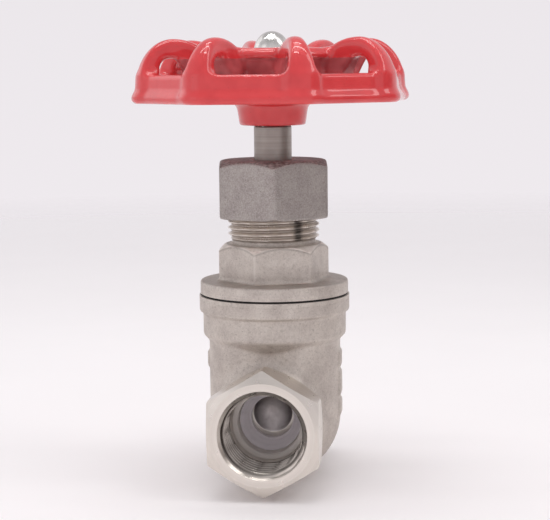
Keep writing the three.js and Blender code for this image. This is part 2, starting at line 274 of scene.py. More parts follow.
SOCKET = half_width("bonnet_gasket") - 3.4  # radius of the hole that takes the bonnet's skirt
SOCKET_FLOOR = 22.0
BARREL_FLAT = 15.0  # the barrel is cut flat this far from the stem's axis, front and back
BARREL_TOP = 19.8
BOSS = 12.9  # radius of the round boss behind a pipe end
SHOULDER = 18.0  # radius of the step under the top rim
SHOULDER_FOOT = 20.5  # it is undercut at 45 degrees below this height
SHOULDER_TOP = 27.5
COLLAR_FOOT = 26.3
CHAMBER = 12.0  # radius of the room that the wedge moves in
CHAMBER_HALF = 7.6  # half its length along the pipe
RAIL_HALF = 1.2  # half the thickness of the rails that guide the wedge
RAIL_INSIDE = 9.1
PADS = ((1, 14.0, 2.1), (1, 7.8, 3.1), (1, 1.6, 2.1), (-1, 14.0, 2.1))  # side, middle height, half height


def body_shape(x, y, z):
    r = np.hypot(x, y)
    pipe = np.hypot(x, z)
    away = np.abs(y)
    high = top("body")
    barrel = np.sqrt(x * x + y * y + np.minimum(z, 0) ** 2) - BARREL
    barrel = meet(barrel, away - BARREL_FLAT, 1.4)
    barrel = meet(barrel, z - BARREL_TOP, 0.3)
    boss = slab(pipe - BOSS, away, -1, HEX_BACK + 2, 0.3)
    shell = melt(barrel, boss, 3.6)
    lower = meet(r - SHOULDER, (r - SHOULDER + SHOULDER_FOOT - z) * 0.707, 0.25)
    lower = meet(meet(lower, z - SHOULDER_TOP, 0.3), SHOULDER_FOOT - 5 - z, 0.3)
    upper = meet(slab(r - COLLAR, z, COLLAR_FOOT, high + 2, 0.35), z - high, 0.15)
    shell = melt(shell, melt(lower, upper, 0.7), 0.35)
    for side, middle, half in PADS:
        pad = brick(x - side * (BARREL - 0.35), y, z - middle, (0.72, 2.9, half), 0.35)
        shell = melt(shell, pad, 0.3)
    shell = shell + 0.015 * lumps(x, y, z, 7)
    shell = meet(shell, foot("body") - z, 0.3)
    chamber = np.maximum(np.hypot(x, np.minimum(z + 0.2, 0)) - CHAMBER, away - CHAMBER_HALF)
    rail = np.maximum(away - RAIL_HALF, np.abs(z - 7.5) - 14)
    rail = np.maximum(rail, RAIL_INSIDE - np.abs(x))
    socket = np.maximum(r - SOCKET, SOCKET_FLOOR - z)
    return meet(shell, -melt(meet(chamber, -rail, 0.3), socket, 0.3), 0.3)


def hex_bar(name, across, low, high, edge, turn=0.0, along="Z"):
    """A hexagonal bar with rounded corners, one of them towards +X before it is turned."""
    radius = across / math.sqrt(3)
    inset = edge * 2 / math.sqrt(3)
    corners = []
    for i in range(6):
        middle = i * TAU / 6
        for swing in np.radians((-30, -15, 0, 15, 30)):
            corners.append(((radius - inset) * math.cos(middle) + edge * math.cos(middle + swing),
                            (radius - inset) * math.sin(middle) + edge * math.sin(middle + swing)))
    cos, sin = math.cos(turn), math.sin(turn)
    corners = [(u * cos - v * sin, u * sin + v * cos) for u, v in corners]
    points = []
    for height in (low, high):
        for u, v in corners:
            points.append({"Z": (u, v, height), "-Y": (u, -height, v), "+Y": (-u, height, v)}[along])
    n = len(corners)
    faces = [(j, (j + 1) % n, n + (j + 1) % n, n + j) for j in range(n)]
    faces += [tuple(reversed(range(n))), tuple(range(n, 2 * n))]
    return new_object(name, points, faces)


def pipe_end(name, along):
    """The spanner hexagon: corners turned off, chamfered in front and behind."""
    envelope = [(AXIS, HEX_BACK), (HEX_HEEL_FOOT, HEX_BACK), (HEX_CORNER, HEX_HEEL)]
    envelope += [(HEX_CORNER, HALF_LENGTH - (HEX_CORNER - HEX_NOSE) * NOSE_SLOPE)]
    envelope += [(HEX_NOSE, HALF_LENGTH), (AXIS, HALF_LENGTH)]
    bar = hex_bar(name, FLAT, HEX_BACK - 1, HALF_LENGTH + 1, 0.35, math.pi / 6, along)
    return combine(bar, turned("envelope", envelope, 144, along=along), "INTERSECT")


PORT_MINOR, PORT_DEPTH, PORT_PITCH = 9.32, 1.16, 1.814  # half-inch parallel pipe thread
PORT_MOUTH, MOUTH_SLOPE = 10.85, 0.9  # countersink at the end face
PORT_THREAD_END = 15.9


def port_cutter(name, along):
    """What the lathe takes out of a pipe end: the thread, an undercut, a land and the bore."""
    face = HALF_LENGTH
    rows = [(AXIS, face + 1), (PORT_MOUTH + 0.5, face + 1)]
    for radius, height in stretch((PORT_MINOR, face), (PORT_MINOR, PORT_THREAD_END), PORT_PITCH / 14):
        fade = min(1, (height - PORT_THREAD_END) / 1.2)
        rows.append((radius, height, PORT_DEPTH * max(0, fade), PORT_MOUTH - MOUTH_SLOPE * (face - height)))
    rows += [(PORT_MINOR, 15.7), (10.7, 15.4), (10.7, 12.9), (9.25, 12.9), (9.25, 13.45), (9.1, 13.6)]
    rows += [(7.95, 13.6), (7.78, 13.4), (7.78, 5), (AXIS, 5)]
    return turned(name, rows, 112, thread_wave, PORT_PITCH, 1, along)


def make_body():
    low = (-20.4, -HEX_BACK - 4, foot("body") - 1)
    high = (20.4, HEX_BACK + 4, top("body") + 1)
    body = cast("body_casting", body_shape, low, high, 0.42)
    high = top("body")
    rim = [(SOCKET + 0.4, high - 1), (COLLAR, high - 1), (COLLAR, high), (SOCKET + 0.4, high)]
    combine(body, turned("rim", rim, 192, closed=True), "UNION")
    for along in ("-Y", "+Y"):
        combine(body, pipe_end("pipe_end", along), "UNION")
        combine(body, port_cutter("port", along), "DIFFERENCE")
    return body


def body_slots(x, y, z):
    """0 for the casting's skin, 1 where it was milled or turned, 2 in the port threads, 3 behind them."""
    pipe, away = np.hypot(x, z), np.abs(y)
    flats = (np.abs(hexagon(x, z, FLAT)) < 0.06) & (away > HEX_BACK + 0.5)
    corners = (pipe > HEX_CORNER - 0.06) & (away > HEX_HEEL)
    nose = away > HALF_LENGTH - 0.1 - np.maximum(pipe - HEX_NOSE, 0) * NOSE_SLOPE
    heel_slope = (HEX_HEEL - HEX_BACK) / (HEX_CORNER - HEX_HEEL_FOOT)
    heel_line = HEX_BACK + (pipe - HEX_HEEL_FOOT) * heel_slope
    heel = (np.abs(away - heel_line) < 0.15) & (pipe > HEX_HEEL_FOOT + 0.2)
    on_hexagon = (flats | corners | nose | heel) & (pipe < HEX_CORNER + 0.3)
    in_port = (pipe < PORT_MOUTH + 0.05) & (away > CHAMBER_HALF + 0.1)
    in_socket = (np.hypot(x, y) < SOCKET + 0.2) & (z > SOCKET_FLOOR - 0.1)
    behind = away < PORT_THREAD_END - 0.25
    in_thread = ~behind & (pipe > PORT_MINOR - 0.12) & (away < HALF_LENGTH - 0.05)
    slots = (on_hexagon | in_port | in_socket).astype(int)
    slots[in_port & in_thread] = 2
    slots[in_port & behind] = 3
    return slots


def mark_faces(obj, chosen):
    """Gives the faces the material slot that chosen(x, y, z) names for their centres."""
    mesh = obj.data
    centres = np.empty(len(mesh.polygons) * 3, np.float32)
    mesh.polygons.foreach_get("center", centres)
    x, y, z = (centres.reshape(-1, 3) / MM - (0, 0, PIPE_Z)).T
    slots = np.zeros(len(mesh.polygons), np.int32)
    slots[:] = chosen(x, y, z)
    mesh.polygons.foreach_set("material_index", slots)


def seat_ring(name, along):
    """Pressed in from the chamber: a cone down to the bore, and a back that leans with the wedge."""
    outer, bore, back = 7.72, half_width("seat_ring_front") - 2.42, 5.5
    rows = [(outer, back), (outer, 10.1)] + arc((outer - 0.2, 10.1), 0.2, 0, 90, 3)[1:]
    rows += [(7.5, 10.3), (7.42, 10.2)] + stretch((7.36, 10.0), (5.75, 7.25), 0.6)
    rows += [(5.62, 7.1), (5.45, 7.0), (bore, 6.7), (bore, back)]
    ring = turned(name, rows, 128, along=along, closed=True)
    for vertex in ring.data.vertices:
        if abs(vertex.co.y) < (back + 0.1) * MM:
            lean = (back - 0.05) * MM + (vertex.co.z - PIPE_Z * MM) * WEDGE_TAPER
            vertex.co.y = math.copysign(lean, vertex.co.y)
    return ring


# ---------------------------------------------------------------- wedge

WEDGE_DISC = 9.0  # radius of the round foot of the wedge
WEDGE_HALF = 5.3  # half its thickness at the pipe axis
RECESS, RECESS_LIFT = 4.85, 0.75  # radius of the round recess in each face, and its height over the pipe axis


def wedge_shape(x, y, z):
    high = top("wedge")
    away = np.abs(y)
    half_x = half_width("wedge")
    thick = away - WEDGE_HALF - z * WEDGE_TAPER
    disc = np.hypot(x, z) - WEDGE_DISC
    upper = np.maximum(np.abs(x) - half_x, np.maximum(6 - z, z - high))
    middle = np.maximum(np.abs(x) - WEDGE_DISC, np.abs(z - 3.5) - 3.5)
    outline = melt(melt(disc, middle, 0.4), upper, 0.8)
    wedge = meet(outline, thick, 0.6)
    grooves = np.maximum(8.8 - np.abs(x), away - 1.35)
    wedge = meet(wedge, -grooves, 0.3)
    recess = np.hypot(x, z - RECESS_LIFT) - RECESS
    bowl = 4.25 + 0.035 * (x * x + (z - RECESS_LIFT) ** 2)
    wedge = meet(wedge, -meet(recess, bowl - away, 0.8), 0.3)
    hole = np.maximum(np.hypot(x, y) - 3.65, -8 - z)
    return meet(wedge, -hole, 0.2)


def make_wedge():
    width = half_width("wedge") + 1
    return cast("wedge_casting", wedge_shape, (-width, -7.4, -10), (width, 7.4, top("wedge") + 1), 0.25)


# ---------------------------------------------------------------- bonnet and gland

FLANGE = 18.6  # radius of the bonnet's flange
FLANGE_FOOT = top("bonnet_gasket") + 0.05
FLANGE_TOP = 34.1
SKIRT = 14.95  # radius of the part of the bonnet that enters the body
BONNET_SPANNER = 24.4  # across the flats of the bonnet's hexagon
CHAMFER, CHAMFER_TOP = 12.1, 43.3  # radius and height where the hexagon's top chamfer starts
CHAMFER_OUT, CHAMFER_UP = 0.63, 0.777  # how the chamfer faces: outwards and upwards
NECK_FOOT = 44.2
BONNET_BORE = 8.0


def bonnet_shape(x, y, z):
    r = np.hypot(x, y)
    flange = meet(slab(r - FLANGE, z, FLANGE_FOOT - 2, FLANGE_TOP, 0.5), FLANGE_FOOT - z, 0.15)
    skirt = slab(r - SKIRT, z, foot("bonnet"), FLANGE_TOP - 1.1, 0.3)
    hex_side = meet(hexagon(x, y, BONNET_SPANNER, BONNET_TURN), r - 14.2, 0.12)
    nut = slab(hex_side, z, FLANGE_TOP - 1.1, CHAMFER_TOP, 0.3)
    nut = meet(nut, (r - CHAMFER) * CHAMFER_OUT + (z - CHAMFER_TOP) * CHAMFER_UP, 0.12)
    shell = melt(melt(flange, nut, 1.0), skirt, 0.3)
    return shell + 0.015 * lumps(x, y, z, 6)


def make_bonnet():
    low = foot("bonnet")
    bonnet = cast("bonnet_casting", bonnet_shape, (-20, -20, low - 1), (20, 20, 44.6), 0.31, 1)
    neck_top = top("bonnet")
    rim = [(13, FLANGE_FOOT), (FLANGE, FLANGE_FOOT), (FLANGE, FLANGE_FOOT + 1), (13, FLANGE_FOOT + 1)]
    combine(bonnet, turned("rim", rim, 192, closed=True), "UNION")
    crest, depth, pitch = 10.55, 0.9, 1.5
    rows = [(AXIS, 40), (crest - 0.1, 40), (crest - 0.1, NECK_FOOT)]
    start, end = NECK_FOOT + 0.2, neck_top - 0.9
    for radius, height in stretch((crest, start), (crest, end), pitch / 14):
        fade = min(1, (height - start) / 0.7)
        rows.append((radius, height, depth * max(0, fade)))
    rows += [(10.5, neck_top), (AXIS, neck_top)]
    combine(bonnet, turned("neck", rows, 144, thread_wave, pitch), "UNION")
    bore = [(AXIS, low - 1), (12.8, low - 1), (12.8, 31.8), (8.1, 31.8), (8.1, 39.6), (4.85, 39.6)]
    bore += [(4.85, 41.2), (BONNET_BORE, 41.2), (BONNET_BORE, neck_top + 1), (AXIS, neck_top + 1)]
    return combine(bonnet, turned("bore", bore, 96), "DIFFERENCE")


def bonnet_slots(x, y, z):
    """1 on the neck and in the bore, 0 elsewhere."""
    return (z > NECK_FOOT + 0.1) | (np.hypot(x, y) < BONNET_BORE + 0.3)


def gasket():
    low, high = foot("bonnet_gasket"), top("bonnet_gasket")
    radius = half_width("bonnet_gasket")
    middle = (low + high) / 2
    rows = [(15.3, low), (radius - 0.15, low)] + arc((radius - 0.2, middle), 0.2, -60, 60, 4)
    rows += [(radius - 0.15, high), (15.3, high)]
    return turned("gasket_ring", rows, 128, closed=True)


GLAND_SPANNER = 26.7  # across the flats of the gland nut
GLAND_TOP = 12.7  # radius of its flat top, inside the 30 degree chamfer


def gland_shape(x, y, z):
    r = np.hypot(x, y)
    low, high = foot("gland_nut"), top("gland_nut")
    side = hexagon(x, y, GLAND_SPANNER, NUT_TURN)
    side = meet(side, r - 15.3, 0.25)
    nut = slab(side, z, low, high, 0.2)
    nut = meet(nut, (r - GLAND_TOP) * 0.5 + (z - high) * 0.866, 0.25)
    nut = meet(nut, (r - 14.2) * 0.5 - (z - low) * 0.866, 0.25)
    return nut + 0.012 * lumps(x, y, z, 5)


def make_gland_nut():
    low, high = foot("gland_nut"), top("gland_nut")
    nut = cast("gland_nut_hexagon", gland_shape, (-17, -17, low - 1), (17, 17, high + 1), 0.28)
    rows = [(AXIS, low - 1), (12.6, low - 1), (12.4, low), (11.55, low + 0.8), (11.55, 61.0)]
    rows += [(5.35, 61.0), (5.35, high - 0.5), (5.9, high), (5.9, high + 1), (AXIS, high + 1)]
    return combine(nut, turned("nut_bore", rows, 96), "DIFFERENCE")


def gland_slots(x, y, z):
    """1 on the top and its chamfer, 0 elsewhere."""
    return z > top("gland_nut") - 0.1 - np.maximum(np.hypot(x, y) - GLAND_TOP, 0) * 0.577


def plain_ring(node, inner, outer, edge=0.15):
    """A turned ring with broken edges that fills its CAD node from bottom to top."""
    low, high = foot(node), top(node)
    rows = [(inner, low + edge), (inner + edge, low), (outer - edge, low), (outer, low + edge)]
    rows += [(outer, high - edge), (outer - edge, high), (inner + edge, high), (inner, high - edge)]
    return turned(node + "_turned", rows, 96, closed=True)


def chevron_ring(node):
    """A V-section packing ring."""
    low, high = foot(node), top(node)
    inner, outer, middle, rise = 4.85, 7.88, 6.37, 0.7
    rows = [(inner, low), (middle, low + rise), (outer, low), (outer, high - rise)]
    rows += [(middle + 0.3, high - 0.06), (middle, high), (middle - 0.3, high - 0.06), (inner, high - rise)]
    return turned(node + "_chevron", rows, 96, closed=True)


def follower():
    low, high = foot("gland_follower"), top("gland_follower")
    rows = [(4.85, low), (7.75, low), (7.85, low + 0.2), (7.85, high - 1.8), (9.2, high - 1.8)]
    rows += [(9.4, high - 1.6), (9.4, high - 0.2), (9.2, high), (4.95, high), (4.85, high - 0.1)]
    return turned("follower_bush", rows, 96, closed=True)


# ---------------------------------------------------------------- stem

STEM = 4.7  # radius of the shaft
STEM_LEAD = 2.5  # what the wedge moves in one turn


def make_stem():
    """Lead thread, thrust collar, shaft, the square that drives the wheel, and the stud for the dome nut."""
    low, high = foot("stem"), top("stem")
    lead_top, shoulder, seat = 30, 72.6, 80.3
    root, depth = 2.35, 1.13
    rows = [(AXIS, low), (root + 0.05, low)]
    for radius, height in stretch((root, low), (root, lead_top), STEM_LEAD / 16):
        fade = min(1, (height - low) / 0.8, (lead_top - height) / 1.5)
        rows.append((radius, height, depth * max(0, fade)))
    rows += [(2.9, 30.3), (3.4, 31), (3.45, 36.3), (6.7, 36.3), (6.8, 36.4), (6.8, 38.8), (6.7, 38.9)]
    rows += [(STEM, 38.9)] + stretch((STEM, 39.2), (STEM, shoulder - 0.35), 3)
    rows += [(STEM - 0.25, shoulder), (AXIS, shoulder)]
    stem = turned("stem_shaft", rows, 96, trapezoid_wave, STEM_LEAD, -1)
    square = cast("square", lambda x, y, z: meet(brick(x, y, z - 76.3, (3.5, 3.5, 4.1), 0.25),
                                                 np.hypot(x, y) - 4.65, 0.2),
                  (-5.5, -5.5, 71), (5.5, 5.5, 81.5), 0.25)
    turn_about_stem(square, WHEEL_TURN)
    combine(stem, square, "UNION")
    pitch = 1.0
    stud = [(AXIS, seat - 1), (2.45, seat - 1)]
    for radius, height in stretch((2.45, seat - 0.9), (2.45, high - 0.7), pitch / 12):
        stud.append((radius, height, 0.54))
    stud += [(2.2, high), (AXIS, high)]
    return combine(stem, turned("stud", stud, 72, thread_wave, pitch), "UNION")


# ---------------------------------------------------------------- handwheel

CORNER = 7.0  # radius of the rim's rounded corners
RIM_FOOT = 78.3
RIM_TOP = 85.4
RIM_WALL = 2.4
FLARE_FOOT = 79.3  # the rim spreads by FLARE towards its foot, from ARCH_FOOT down to here
FLARE = 1.25
ARCH_MIDDLE = 24.8  # where a lobe's arch is highest, measured out from the stem
ARCH_FOOT = 82.4  # below this the arch runs straight down into the rim
ARCH_HALF = 3.85  # half its width below ARCH_NARROWS
ARCH_NARROWS = 86.0
ARCH_UNDER = 89.3  # underside of the arch
LIP = 16.9  # radius of the rolled edge of the dish in the middle
DISH_WALL = 15.7
DISH_FLOOR = 16.8
HUB = 8.25


def lobe_plane(x, y):
    """Folds the wheel onto one lobe: distance out along the lobe, and sideways from its middle."""
    r = np.hypot(x, y)
    step = TAU / LOBES
    angle = np.arctan2(y, x) - WHEEL_TURN
    angle = angle - step * np.round(angle / step)
    return r * np.cos(angle), np.abs(r * np.sin(angle))


def rim_outline(u, v, hollow):
    """Distance to the rim's outline: rounded corners at the lobes, slightly hollow panels between them."""
    turn = math.pi / LOBES
    centre = WHEEL - CORNER
    along = v * math.cos(turn) - u * math.sin(turn)
    side = u * math.cos(turn) + v * math.sin(turn) - centre * math.cos(turn) - CORNER
    reach = np.clip((centre * math.sin(turn) + 1 - np.abs(along)) / 5.5, 0, 1)
    side = side + hollow * reach * reach * (3 - 2 * reach)
    corner = np.hypot(u - centre, v) - CORNER
    return np.where(np.arctan2(v, u - centre) < turn, corner, side)


def flare(z):
    """How far the rim and the arches stand back from the foot of the rim."""
    rise = np.clip((z - FLARE_FOOT) / (ARCH_FOOT - FLARE_FOOT), 0, 1)
    return FLARE * rise * rise * (3 - 2 * rise) + 0.1 * np.maximum(z - ARCH_FOOT, 0)


def arch_depth(u, z):
    """Depth below a lobe's outer surface: up from the rim, over the crown and down to the dish."""
    crown = top("handwheel") - 0.3
    out = u - ARCH_MIDDLE
    reach = np.where(out > 0, WHEEL - FLARE - ARCH_MIDDLE, 9.2)
    middle = np.where(out > 0, ARCH_FOOT, crown - 6.0)
    rise = z - middle
    scale = np.maximum(np.hypot(out / reach, rise / (crown - middle)), 0.2)
    span_out = np.hypot(out, rise)
    wall = WHEEL - flare(z) - u
    depth = np.where((out > 0) & (rise < 0), wall, span_out / scale - span_out)
    return depth - 0.5 * np.clip((86.5 - z) / 3, 0, 1)


def arch(u, v, z):
    """A lobe: a thick bar with drafted sides, bent over from the rim to the lip of the dish."""
    depth = arch_depth(u, z)
    half = ARCH_HALF - 0.24 * np.maximum(z - ARCH_NARROWS, 0) - 0.18 * np.clip(depth, 0, 5)
    bar = meet(0.055 * v * v - depth, (v - half) * 0.97, 1.5)
    opening = slab(np.abs(u - 19.8) - 8.6, z, 70, ARCH_UNDER, 2.6)
    opening = meet(opening, (21.8 - u + 0.6 * (z - RIM_TOP)) * 0.86, 1.0)
    bar = meet(bar, -opening, 1.2)
    bar = meet(bar, LIP - 0.5 - u, 0.5)
    return meet(bar, 80.8 - z, 1.2)


def dish_shape(r, z):
    """The dish inside the arches, with its rolled lip, and the hub under it."""
    lip_top = top("handwheel") - 2.75
    lip_out = np.maximum(np.abs(r - LIP) - 0.45, 0)
    lip_up = np.maximum(np.abs(z - lip_top + 1.25) - 0.15, 0)
    lip = meet(np.hypot(lip_out, lip_up) - 1.1, (r - 18.5) * 0.77 + (z - lip_top + 1.7) * 0.64, 0.5)
    wall = slab(np.abs(r - DISH_WALL - 0.06 * (z - 84)) - 0.9, z, 79, lip_top - 1, 0.4)
    floor = slab(r - DISH_FLOOR, z, RIM_FOOT, foot("wheel_washer") - 0.05, 0.8)
    hub = r - HUB - 0.14 * np.clip(z - 72.7, 0, 4)
    hub = slab(hub, z, foot("handwheel"), RIM_FOOT + 1, 0.5)
    return melt(melt(melt(lip, wall, 0.6), floor, 1.5), hub, 2.2)


def wheel_shape(x, y, z):
    r = np.hypot(x, y)
    u, v = lobe_plane(x, y)
    outline = rim_outline(u, v, 0.5) + flare(z)
    rim = meet(outline, -outline - RIM_WALL, 0.8)
    rim = meet(meet(rim, RIM_FOOT - z, 1.9), z - RIM_TOP, 1.1)
    return melt(melt(rim, arch(u, v, z), 1.8), dish_shape(r, z), 1.5)


def wheel_slots(x, y, z):
    """1 on the dish wall and the back of the rim, which take a darker, less glossy copy of the enamel as
    painted shade, and 0 elsewhere.
    """
    u, v = lobe_plane(x, y)
    shaded_wall = (u < 24.5) & (z < ARCH_UNDER - 0.1) & (z > RIM_FOOT + 0.6)
    behind_rim = (rim_outline(u, v, 0.5) + flare(z) < -1.6) & (z < RIM_TOP - 0.6) & (z > RIM_FOOT + 0.6)
    return shaded_wall | behind_rim


def make_wheel():
    reach = WHEEL + 1
    low = (-reach, -reach, foot("handwheel") - 1)
    wheel = cast("handwheel_casting", wheel_shape, low, (reach, reach, top("handwheel") + 1.5), 0.4, 3)
    hole = cast("hole", lambda x, y, z: brick(x, y, z - 76.5, (3.7, 3.7, 8), 0.3),
                (-5, -5, 67), (5, 5, 86), 0.25)
    turn_about_stem(hole, WHEEL_TURN)
    return combine(wheel, hole, "DIFFERENCE")


def make_dome_nut():
    low, high = foot("dome_nut"), top("dome_nut")
    hex_top = low + 5
    dome, dome_foot = 4.45, 91.0
    rows = [(AXIS, hex_top - 2), (dome, hex_top - 2), (dome, dome_foot - 0.8)]
    for angle in np.radians(np.linspace(0, 89, 26)):
        rows.append((dome * math.cos(angle), dome_foot + (high - dome_foot) * math.sin(angle)))
    nut = turned("dome_nut_polished", rows, 128)
    cone = [(AXIS, low), (4.9, low), (5.7, low + 0.5), (5.7, hex_top - 0.55), (4.5, hex_top), (AXIS, hex_top)]
    corner = 5.7736  # of a hexagon 10 mm across the flats
    faces = turned("hexagon", [(corner, low - 1), (corner, hex_top + 1)], 6)
    turn_about_stem(faces, WHEEL_TURN + math.radians(30))
    combine(faces, turned("cone", cone, 96), "INTERSECT")
    combine(nut, faces, "UNION")
    hole = [(AXIS, low - 1), (3.6, low - 1), (3.6, low), (3.1, low + 0.5), (3.1, 91.3), (AXIS, 92)]
    return combine(nut, turned("hole", hole, 64), "DIFFERENCE")


def split_washer():
    """A square-section spring washer: one turn of a flat coil with a gap between its ends."""
    low, high = foot("spring_washer"), top("spring_washer")
    steps, gap = 72, math.radians(12)
    inner, outer, edge = 3.2, 5.15, 0.12
    thick = (high - low) - 0.25
    section = [(inner, edge), (inner + edge, 0), (outer - edge, 0), (outer, edge), (outer, thick - edge),
               (outer - edge, thick), (inner + edge, thick), (inner, thick - edge)]
    points = []
    for i in range(steps + 1):
        angle = WHEEL_TURN + gap / 2 + (TAU - gap) * i / steps
        rise = low + 0.25 * i / steps
        points += [(r * math.cos(angle), r * math.sin(angle), h + rise) for r, h in section]
    n = len(section)
    faces = [(i * n + j, i * n + (j + 1) % n, (i + 1) * n + (j + 1) % n, (i + 1) * n + j)
             for i in range(steps) for j in range(n)]
    faces += [tuple(reversed(range(n))), tuple(range(steps * n, (steps + 1) * n))]
    return new_object("spring_washer_coil", points, faces)


# ---------------------------------------------------------------- materials

class Finish:
    """A node material, with short names for the nodes that the finishes below share."""

    def __init__(self, name, metallic, roughness):
        self.material = bpy.data.materials.new(name)
        self.material.use_nodes = True
        self.tree = self.material.node_tree
        self.shader = self.tree.nodes["Principled BSDF"]
        self.shader.inputs["Metallic"].default_value = metallic
        self.shader.inputs["Roughness"].default_value = roughness
        self.place = self.add("TexCoord").outputs["Object"]
        self.relief = None

    def add(self, kind, inputs=None, **settings):
        node = self.tree.nodes.new("ShaderNode" + kind)
        for key, value in settings.items():
            setattr(node, key, value)
        for key, value in (inputs or {}).items():
            self.feed(node.inputs[key], value)
        return node

    def feed(self, socket, value):
        if isinstance(value, bpy.types.NodeSocket):
            self.tree.links.new(value, socket)
        else:
            socket.default_value = value

    def noise(self, size, detail=2.0, stretch=(1, 1, 1)):
        """Noise between 0 and 1 with features of the given size in millimetres."""
        place = self.add("VectorMath", {0: self.place, 1: stretch}, operation="MULTIPLY").outputs[0]
        sizes = {"Vector": place, "Scale": 1 / (size * MM), "Detail": detail}
        return self.add("TexNoise", sizes).outputs["Fac"]

    def math(self, operation, *values):
        return self.add("Math", dict(enumerate(values)), operation=operation).outputs[0]

    def remap(self, value, low, high, to_low=0.0, to_high=1.0):
        sizes = {"Value": value, "From Min": low, "From Max": high, "To Min": to_low, "To Max": to_high}
        return self.add("MapRange", sizes).outputs["Result"]

    def mix(self, factor, a, b):
        node = self.add("Mix", data_type="RGBA")
        for key, value in (("Factor_Float", factor), ("A_Color", a), ("B_Color", b)):
            self.feed(next(i for i in node.inputs if i.identifier == key), value)
        return next(o for o in node.outputs if o.identifier == "Result_Color")

    def bump(self, height, strength, distance):
        inputs = {"Height": height, "Strength": strength, "Distance": distance * MM}
        if self.relief:
            inputs["Normal"] = self.relief
        self.relief = self.add("Bump", inputs).outputs["Normal"]
        self.feed(self.shader.inputs["Normal"], self.relief)

    def edges(self, low=0.53, high=0.7):
        """1 along outer edges, where handling wears a surface first, and 0 elsewhere."""
        return self.remap(self.add("NewGeometry").outputs["Pointiness"], low, high)

    # 1 in hollows and 0 elsewhere; the finishes use it to paint shade into hollows
    def hollows(self, low=0.48, high=0.4):
        return self.remap(self.add("NewGeometry").outputs["Pointiness"], low, high)

    def radius(self, axis, lift=0.0):
        """Distance from the pipe axis, raised by lift mm, or from the stem axis, and distance along it."""
        parts = self.add("SeparateXYZ", {0: self.place}).outputs
        other = parts["Y"]
        if axis == "Y":
            other = self.math("SUBTRACT", parts["Z"], (PIPE_Z + lift) * MM)
        square = self.math("ADD", self.math("POWER", parts["X"], 2.0), self.math("POWER", other, 2.0))
        return self.math("SQRT", square), parts[axis]

    def turning(self, axis, size):
        """Fine tool marks: rings round the axis, and lines along it, of the given size."""
        radius, along = self.radius(axis)
        line = self.add("CombineXYZ", {0: radius, 1: along}).outputs[0]
        return self.add("TexNoise", {"Vector": line, "Scale": 1 / (size * MM), "Detail": 1.0}).outputs["Fac"]

    def colour(self, value):
        self.feed(self.shader.inputs["Base Color"], value)
        return self

    def rough(self, value):
        self.feed(self.shader.inputs["Roughness"], value)


def shade(red, green, blue):
    """A screen colour from 0 to 255 as the linear colour that nodes use."""
    return tuple((c / 255) ** 2.2 for c in (red, green, blue)) + (1.0,)


def blasted_steel(name, light, dark, speck_and_shade, grain=0.3, rough=0.5, contrast=0.2, metal=0.9):
    """Bead-blasted stainless casting: matt grain, soft patches, dark specks, brighter worn edges, and painted
    shade in the hollows.
    """
    f = Finish(name, metal, rough)
    tone = f.mix(f.remap(f.noise(5, 3), 0.35, 0.65), dark, light)
    tone = f.mix(f.remap(f.noise(grain, 2), 0.4, 0.65, 0.0, contrast), tone, shade(236, 230, 222))
    tone = f.mix(f.remap(f.noise(grain * 1.7, 2), 0.45, 0.3, 0.0, contrast), tone, speck_and_shade)
    tone = f.mix(f.remap(f.noise(0.45, 1), 0.27, 0.22, 0.0, 0.6), tone, speck_and_shade)
    # painted shade: hollows darkened towards the speck colour
    tone = f.mix(f.math("MULTIPLY", f.hollows(), 0.5), tone, speck_and_shade)
    tone = f.mix(f.math("MULTIPLY", f.edges(), 0.2), tone, shade(240, 232, 222))
    f.colour(tone)
    f.rough(f.remap(f.noise(0.8, 3), 0.3, 0.7, rough - 0.1, rough + 0.12))
    f.bump(f.noise(grain, 2), 0.35, 0.04)
    f.bump(f.noise(3.5, 2), 0.12, 0.1)
    return f


def bonnet_steel(light, dark, speck_and_shade):
    """The bonnet's casting skin: clean on the turned chamfer, with a painted highlight, partly edge wear,
    along the hexagon's corners, and painted shade on the flange top and along the chamfer's lower edge.
    """
    f = blasted_steel("bonnet_steel", light, dark, speck_and_shade, 0.3, 0.55)
    radius, along = f.radius("Z")
    cone = f.math("ADD", f.math("MULTIPLY", radius, CHAMFER_OUT), f.math("MULTIPLY", along, CHAMFER_UP))
    limit = (CHAMFER * CHAMFER_OUT + (PIPE_Z + CHAMFER_TOP) * CHAMFER_UP) * MM
    chamfer = f.remap(cone, limit - 0.22 * MM, limit - 0.08 * MM)
    line = f.math("MULTIPLY", f.remap(cone, limit - 0.6 * MM, limit - 0.2 * MM), f.remap(chamfer, 1, 0))
    parts = f.add("SeparateXYZ", {0: f.place}).outputs
    bearing = f.math("ARCTAN2", parts["X"], f.math("MULTIPLY", parts["Y"], -1.0))
    sixth = math.pi / 6
    swing = f.math("WRAP", f.math("SUBTRACT", bearing, BONNET_TURN), sixth, -sixth)
    beside = f.math("MULTIPLY", f.math("ABSOLUTE", swing), radius)
    flange = (PIPE_Z + FLANGE_TOP) * MM
    over_flange = f.remap(along, flange + 0.9 * MM, flange + 1.9 * MM)
    corner = f.math("MULTIPLY", f.remap(beside, 0.5 * MM, 0.15 * MM), over_flange)
    tone = f.shader.inputs["Base Color"].links[0].from_socket
    # painted shade on the flange top and at the foot of the hexagon
    shelf = f.math("MULTIPLY", f.remap(along, flange - 0.4 * MM, flange - 0.05 * MM),
                   f.remap(along, flange + 0.8 * MM, flange + 0.2 * MM))
    tone = f.mix(f.math("MULTIPLY", shelf, 0.35), tone, speck_and_shade)
    # painted shade: a dark line along the lower edge of the chamfer
    tone = f.mix(f.math("MULTIPLY", line, 0.35), tone, speck_and_shade)
    # painted highlight along the hexagon's corners, partly edge wear
    tone = f.mix(f.math("MULTIPLY", corner, 0.2), tone, shade(236, 229, 221))
    f.colour(f.mix(f.math("MULTIPLY", chamfer, 0.3), tone, shade(232, 225, 217)))
    return f


